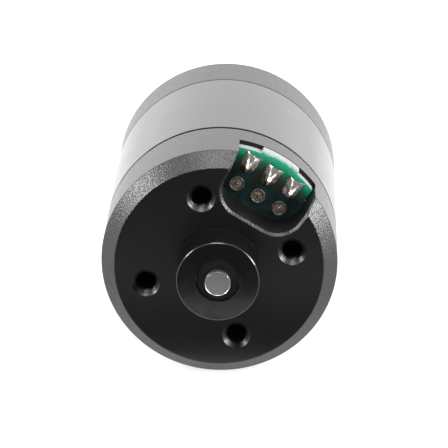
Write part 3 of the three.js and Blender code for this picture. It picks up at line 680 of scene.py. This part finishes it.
class MOTOR_OT_board(bpy.types.Operator):
    """Winding board whose lobe shows in the pocket"""
    bl_idname = "motor.board"
    bl_label = "Winding board"

    def execute(self, context):
        pocket, colours = context.scene.motor_pocket, context.scene.motor_colours
        disc, lobe, bore, side_gap = 13.05 * MM, 14.5 * MM, 5.6 * MM, 0.12 * MM
        tab_out, tab_half, tab_middle, tab_ramp = 0.48 * MM, 0.183, -0.005, 0.006
        whole, lobe_only = np.linspace(-math.pi, math.pi, 241), np.linspace(-0.45, 0.45, 361)
        around = np.unique(np.concatenate([whole, lobe_only]))[:-1]
        # A pocket wall less its gap is the line |across| = at_axis + flare x distance, as a radius here.
        at_axis = pocket.half_width - side_gap - pocket.flare * (pocket.floor + pocket.corner)
        wall = at_axis / np.maximum(np.abs(np.sin(around)) - pocket.flare * np.cos(around), 1e-6)
        wall = np.where(np.abs(around) < math.pi / 2, wall, disc)
        outline = np.maximum(disc, np.minimum(lobe, wall))
        outline += tab_out * np.clip((tab_half - np.abs(around - tab_middle)) / tab_ramp, 0, 1)
        # Each row: how far from the bore to the outline, y, and what the broken edge takes off the radius.
        edge = 0.05 * MM
        section = np.array([
            (0.0, BOARD_FRONT, 0.0), (0.5, BOARD_FRONT, 0.0), (0.96, BOARD_FRONT, 0.0),
            (1.0, BOARD_FRONT, -edge), (1.0, BOARD_FRONT + edge, 0.0),
            (1.0, BOARD_BACK - edge, 0.0), (1.0, BOARD_BACK, -edge),
            (0.9, BOARD_BACK, 0.0), (0.5, BOARD_BACK, 0.0), (0.0, BOARD_BACK, 0.0)])
        radius = bore + (outline[:, None] - bore) * section[:, 0] + section[:, 2]
        turn = around[:, None] + pocket.angle
        level = np.broadcast_to(section[:, 1], radius.shape)
        mesh = grid_mesh("board", np.stack([radius * np.cos(turn), level, radius * np.sin(turn)], axis=-1))
        bit, above, below = 0.72 * MM, BOARD_FRONT - 1 * MM, BOARD_BACK + 1 * MM
        drill = turned_grid(np.array([(0, above), (bit, above), (bit, below), (0, below)]), 32)
        drills = []
        for side in (-1, 0, 1):
            place = to_place(drill, pocket.eyelet_distance, side * pocket.pad_pitch, pocket.angle)
            drills.append(grid_mesh("drill", place, True, False))
        mesh = cut_away(mesh, drills)
        epoxy = speckled("cut glass epoxy", colours.epoxy, "#686c6b", 0.2 * MM, 0.6, IOR=1.55)
        piece = new_piece(
            "winding_board", mesh, "stator", "board_green", solder_mask_painted_shade(colours.mask), epoxy)
        paint_faces(mesh, lambda centre, normal: np.abs(normal[:, 1]) < 0.8)
        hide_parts("circuit_board")
        return {"FINISHED"}


class MOTOR_OT_joints(bpy.types.Operator):
    """Solder mounds on the phase pads, and eyelets with the winding ends"""
    bl_idname = "motor.joints"
    bl_label = "Solder and eyelets"

    def mound(self, pocket, side):
        """A solder mound. Its rim is a tapering pad whose outer end sags inwards between two corners. Its
        height follows a curve along the pad, highest near the inner end, shared between two crests that part
        towards the outer end and a dome under both. The side number leans the crests a little."""
        dip, crest_share, dome_share, crest_width, film = 0.24 * MM, 0.42, 0.42, 0.27, 0.02 * MM
        around = np.arange(72) * TAU / 72
        cosine, sine = np.cos(around), np.sin(around)
        square = np.maximum(np.abs(cosine), np.abs(sine))
        out, across = cosine / square, sine / square
        middle, half = (pocket.pad_outer + pocket.pad_inner) / 2, (pocket.pad_outer - pocket.pad_inner) / 2
        sag = dip * np.clip(out, 0, 1) * (1 - across ** 2)
        rim_out = middle + half * out - sag
        stations, widths = [-1.0, -0.4, 0.4, 1.0], np.array([0.72, 0.95, 1.02, 1.22]) * MM
        rim_across = np.interp(out, stations, widths) * across
        share = np.sin(np.linspace(0, math.pi / 2, 23))[:, None]
        core_out = middle - 0.2 * half
        low_out = core_out + (rim_out - core_out) * share
        low_across = rim_across * share
        along = (low_out - middle) / half
        aside = low_across / np.interp(along, stations, widths)
        lift = np.interp(along, [-1.0, -0.8, -0.45, 0.0, 0.6, 1.0], [0.5, 1.0, 1.15, 0.85, 0.42, 0.2]) * MM
        apart, lean = 0.38 * (along + 1), 0.06 * side
        crests = sum(np.exp(-((aside - hand * apart - lean) / crest_width) ** 2) for hand in (-1, 1))
        dome = 1 - np.clip(np.abs(aside), 0, 1) ** 2
        height = lift * (crest_share * crests + dome_share * dome) * (1 - share ** 8) + film
        foot = BOARD_FRONT - 0.005 * MM
        top = np.stack([low_out, foot - height, low_across], axis=-1)
        under = np.stack([low_out, np.full(low_out.shape, foot), low_across], axis=-1)[::-1]
        place = to_place(np.concatenate([top, under]), 0.0, side * pocket.pad_pitch, pocket.angle)
        return grid_mesh(f"mound_{side + 2}", place, False, True, sharp=50.0)

    def execute(self, context):
        pocket, colours = context.scene.motor_pocket, context.scene.motor_colours
        brass = speckled("tinned eyelet under flux", "#3a3832", "#68645b", 0.3 * MM, 0.26, 0.5)
        fill = speckled("dull solder in the eyelet", "#4f473d", "#8c8071", 0.35 * MM, 0.3, 0.5)
        front, foot, tail = BOARD_FRONT - 0.42 * MM, BOARD_FRONT - 0.01 * MM, BOARD_BACK + 1 * MM
        lip, stem, filled = 0.95 * MM, 0.7 * MM, 0.6 * MM
        barrel = turned_grid(eased([
            (0, front + 0.16 * MM), (0.36 * MM, front + 0.12 * MM), (0.58 * MM, front + 0.2 * MM),
            (0.74 * MM, front + 0.18 * MM), (0.84 * MM, front), (lip, front + 0.05 * MM),
            (lip, foot), (stem, foot), (stem, tail), (0, tail)], 0.06 * MM, closed=False), 48)
        for side in (-1, 0, 1):
            burnt = 0.06 + 0.06 * side
            solder = frozen_solder(colours.solder, colours.flux, burnt)
            mesh = self.mound(pocket, side)
            piece = new_piece(f"solder_mound_{side + 2}", mesh, "stator", "solder", solder)
            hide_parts(f"solder_joint_{side + 2}")
            where = pocket.eyelet_distance, side * pocket.pad_pitch, pocket.angle
            mesh = grid_mesh("eyelet", to_place(barrel, *where), True, False)
            middle = to_place(np.zeros(3), *where)
            paint_faces(mesh, lambda centre, normal: (
                np.hypot(centre[:, 0] - middle[0], centre[:, 2] - middle[2]) < filled))
            piece = new_piece(f"eyelet_{side + 2}", mesh, "stator", "plated_brass", brass, fill)
            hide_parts(f"phase_eyelet_{side + 2}")
            wire = self.winding_end(front + 0.12 * MM, 0.5 + 0.9 * side)
            mesh = grid_mesh("winding_end", to_place(wire, *where), False, True)
            new_piece(f"winding_end_{side + 2}", mesh, "stator", "solder", solder)
        return {"FINISHED"}

    def winding_end(self, level, lean):
        """A wire end bent over in the eyelet: a round section carried along an arc, with domed ends. The
        arc's middle lies at the given level, and the wire at a lean to the pocket's own directions."""
        half, wire_radius, bend = 0.34 * MM, 0.15 * MM, 0.1 * MM
        along = np.linspace(-1, 1, 17)
        thick = wire_radius * np.sqrt(np.clip(1 - np.abs(along) ** 6, 0, 1))
        middle = np.stack([
            half * along * math.cos(lean), level + bend * along ** 2, half * along * math.sin(lean)], axis=-1)
        around = (np.arange(16) * TAU / 16)[None, :]
        sideways = np.array([-math.sin(lean), 0.0, math.cos(lean)])
        return (middle[:, None] + (thick[:, None] * np.cos(around))[..., None] * sideways
                + (thick[:, None] * np.sin(around))[..., None] * np.array([0.0, 1.0, 0.0]))


class MOTOR_OT_resin(bpy.types.Operator):
    """Clear resin pooled over the inner end of the board in the pocket"""
    bl_idname = "motor.resin"
    bl_label = "Potting resin"

    def execute(self, context):
        pocket, colours = context.scene.motor_pocket, context.scene.motor_colours
        reach, gap, wave = 11.2 * MM, 0.02 * MM, 0.35 * MM
        outline = pocket_outline(pocket, gap, reach)
        far = np.linspace(outline[-1], outline[0], 20)[1:-1]
        far[:, 0] += wave * np.cos(far[:, 1] / pocket.pad_pitch * TAU)
        rim = np.vstack([outline, far])
        centre = np.array([9.4 * MM, 0.0])
        share = np.sin(np.linspace(0, math.pi / 2, 40))[:, None, None]
        out, across = np.moveaxis(centre + (rim - centre) * share, -1, 0)
        # The height is a film that thins out towards its far edge, ripples, and climbs the pocket's walls.
        film, thins_over, climb_over = 0.16 * MM, 1.0 * MM, 0.4 * MM
        wall = np.maximum(np.minimum(out - pocket.floor, pocket.half_width - np.abs(across)), 0)
        thin = np.clip((reach + 0.1 * MM - out) / thins_over, 0, 1)
        ripple = 0.03 * MM * np.sin(out / (0.5 * MM)) * np.cos(across / (0.9 * MM))
        climb = 0.22 * MM * (0.4 + 0.6 * np.cos(across / (1.1 * MM)) ** 2)
        height = (film + climb * np.exp(-wall / climb_over) + ripple) * (0.1 + 0.9 * thin)
        foot = BOARD_FRONT - 0.002 * MM
        top = np.stack([out, foot - height, across], axis=-1)
        under = np.stack([out, np.full(out.shape, foot), across], axis=-1)[::-1]
        place = to_place(np.concatenate([top, under]), 0.0, 0.0, pocket.angle)
        mesh = grid_mesh("resin", place, False, True, sharp=60.0)
        # The resin's near-black colour is partly its own tint and partly painted shade of the pocket's depth.
        resin = speckled(
            "clear potting resin with painted shade", colours.resin, "#122020", 1.2 * MM, 0.08, bump=0.3, IOR=1.5)
        piece = new_piece("resin_pool", mesh, "stator", "clear_resin", resin)
        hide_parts("potting_resin")
        return {"FINISHED"}


class MOTOR_OT_inside(bpy.types.Operator):
    """Finishes of the pieces inside: stator, coils, magnets and bearings"""
    bl_idname = "motor.inside"
    bl_label = "Inner pieces"

    def execute(self, context):
        # The first word found in a piece's name picks its finish. The other pieces are spring steel.
        finishes = {
            "stator_core": laminated_steel(),
            "insulator": speckled("moulded glass-filled nylon", "#2e2018", "#443124", 0.3 * MM, 0.5),
            "coil": speckled("polyurethane enamelled copper wire", "#8a4420", "#b5652f", 0.4 * MM, 0.3, 0.9),
            "magnet": speckled("nickel plated neodymium", "#a5a5a2", "#bdbdb8", 0.6 * MM, 0.25, 1.0),
            "bearing_spacer": speckled("black anodised sleeve", "#1a1a1c", "#26262a", 0.2 * MM, 0.35),
            "bearing": ground_steel("polished bearing steel", "#bcbdbf", 0.18),
            "spring": ground_steel("rolled spring steel", "#9c9da0", 0.28),
        }
        for name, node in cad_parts.items():
            kind = next((word for word in finishes if word in name), "spring")
            node.data.materials.clear()
            node.data.materials.append(finishes[kind])
        return {"FINISHED"}


class MOTOR_OT_stage(bpy.types.Operator):
    """Light table, white surroundings, three lamps, a dark flag and mat in front, and the camera"""
    bl_idname = "motor.stage"
    bl_label = "Stage"

    def sheet(self, name, corners, material):
        """A flat sheet of the stage between four corners. It isn't part of the motor."""
        mesh = bpy.data.meshes.new(name)
        mesh.from_pydata(corners, [], [(0, 1, 2, 3)])
        mesh.materials.append(material)
        thing = bpy.data.objects.new(name, mesh)
        bpy.context.scene.collection.objects.link(thing)
        return thing

    def lamp(self, name, place, size, power):
        """A rectangular lamp that faces the motor and doesn't show itself."""
        lamp = bpy.data.lights.new(name, "AREA")
        lamp.shape, lamp.size, lamp.size_y, lamp.energy = "RECTANGLE", size[0], size[1], power
        holder = bpy.data.objects.new(name, lamp)
        bpy.context.scene.collection.objects.link(holder)
        holder.location = place
        holder.rotation_euler = holder.location.to_track_quat("Z", "Y").to_euler()
        holder.visible_camera = False

    def execute(self, context):
        scene, stage = context.scene, context.scene.motor_stage
        ground, half_table = -BODY_R, 2.5
        table, tree, shader, place = start_material(
            "light table acrylic", Base_Color=linear("#848484"), Roughness=0.9, Specular_IOR_Level=0.0)
        shader.inputs["Emission Color"].default_value = (1, 1, 1, 1)
        # The table glows less within 40 mm of the motor. This is painted shade round the motor's foot, on the
        # table and in the motor's reflections. Further out it glows more, so the background is white.
        away = add_node(tree, "ShaderNodeVectorMath", {0: place}, operation="LENGTH")
        glow = add_node(tree, "ShaderNodeMapRange", {
            "Value": away.outputs["Value"], "From Min": 40 * MM, "From Max": 95 * MM,
            "To Min": stage.table_glow, "To Max": 1.65 * stage.table_glow})
        tree.links.new(glow.outputs["Result"], shader.inputs["Emission Strength"])
        self.sheet("floor", [
            (-half_table, -half_table, ground), (half_table, -half_table, ground),
            (half_table, half_table, ground), (-half_table, half_table, ground)], table)

        # The flag and the mat show only in reflections: they darken the faces that look forwards. The flag is
        # the dark side of the studio. The mat is painted shade of the table in front of the motor's foot.
        black = start_material(
            "black flag cloth", Base_Color=(0, 0, 0, 1), Roughness=1.0, Specular_IOR_Level=0.0)[0]
        front, wide, tall = -35.8 * MM, 120 * MM, 75 * MM
        mat_start, mat_end, mat_wide, mat_level = -5.7 * MM, -27 * MM, 40 * MM, ground + 0.1 * MM
        flag = self.sheet("flag", [
            (-wide, front, ground), (wide, front, ground), (wide, front, tall), (-wide, front, tall)], black)
        mat = self.sheet("mat", [
            (-mat_wide, mat_end, mat_level), (mat_wide, mat_end, mat_level),
            (mat_wide, mat_start, mat_level), (-mat_wide, mat_start, mat_level)], black)
        for cloth in (flag, mat):
            cloth.visible_camera = cloth.visible_diffuse = False
            cloth.visible_shadow = cloth.visible_transmission = False

        world = bpy.data.worlds.new("white surroundings")
        scene.world = world
        world.use_nodes = True
        sky = world.node_tree.nodes["Background"]
        sky.inputs["Color"].default_value = (1, 1, 1, 1)
        sky.inputs["Strength"].default_value = stage.sky

        self.lamp("left light", (-0.275, -0.040, 0.157), (0.10, 0.08), stage.side_light)
        self.lamp("right light", (0.300, -0.055, 0.120), (0.12, 0.15), 1.9 * stage.side_light)
        self.lamp("top light", (-0.013, -0.126, 0.484), (0.20, 0.25), stage.top_light)

        eye = bpy.data.cameras.new("camera")
        eye.lens, eye.sensor_width, eye.clip_start, eye.clip_end = stage.lens, 36.0, 0.01, 50.0
        camera = bpy.data.objects.new("camera", eye)
        scene.collection.objects.link(camera)
        aim = np.array([0.21, 15.65, -0.02]) * MM
        toward = np.array([
            math.sin(stage.azimuth) * math.cos(stage.elevation),
            -math.cos(stage.azimuth) * math.cos(stage.elevation),
            math.sin(stage.elevation)])
        camera.location = (aim + stage.distance * toward).tolist()
        camera.rotation_euler = (math.pi / 2 - stage.elevation, 0.0, stage.azimuth)
        scene.camera = camera
        scene.view_settings.view_transform = "Standard"
        return {"FINISHED"}


OPERATORS = (
    MOTOR_OT_inside, MOTOR_OT_base, MOTOR_OT_can, MOTOR_OT_shaft, MOTOR_OT_board, MOTOR_OT_joints,
    MOTOR_OT_resin, MOTOR_OT_stage,
)
GROUPS = {
    "motor_base": MotorBaseSettings, "motor_holes": MotorHoleSettings, "motor_pocket": MotorPocketSettings,
    "motor_colours": MotorColourSettings, "motor_stage": MotorStageSettings,
}


class MOTOR_PT_panel(bpy.types.Panel):
    """Settings and pieces of the motor"""
    bl_idname = "MOTOR_PT_panel"
    bl_label = "Outrunner motor"
    bl_space_type = "VIEW_3D"
    bl_region_type = "UI"
    bl_category = "Motor"

    def draw(self, context):
        for name, group in GROUPS.items():
            box = self.layout.box()
            for setting in group.__annotations__:
                box.prop(getattr(context.scene, name), setting)
        for operator in OPERATORS:
            self.layout.operator(operator.bl_idname)


def register():
    for kind in [*GROUPS.values(), *OPERATORS, MOTOR_PT_panel]:
        bpy.utils.register_class(kind)
    for name, group in GROUPS.items():
        setattr(bpy.types.Scene, name, bpy.props.PointerProperty(type=group))


def unregister():
    for name in GROUPS:
        delattr(bpy.types.Scene, name)
    for kind in reversed([*GROUPS.values(), *OPERATORS, MOTOR_PT_panel]):
        bpy.utils.unregister_class(kind)


def main():
    """Builds everything in order."""
    register()
    for operator in OPERATORS:
        getattr(bpy.ops.motor, operator.bl_idname.split(".")[1])()


if __name__ == "__main__":
    main()
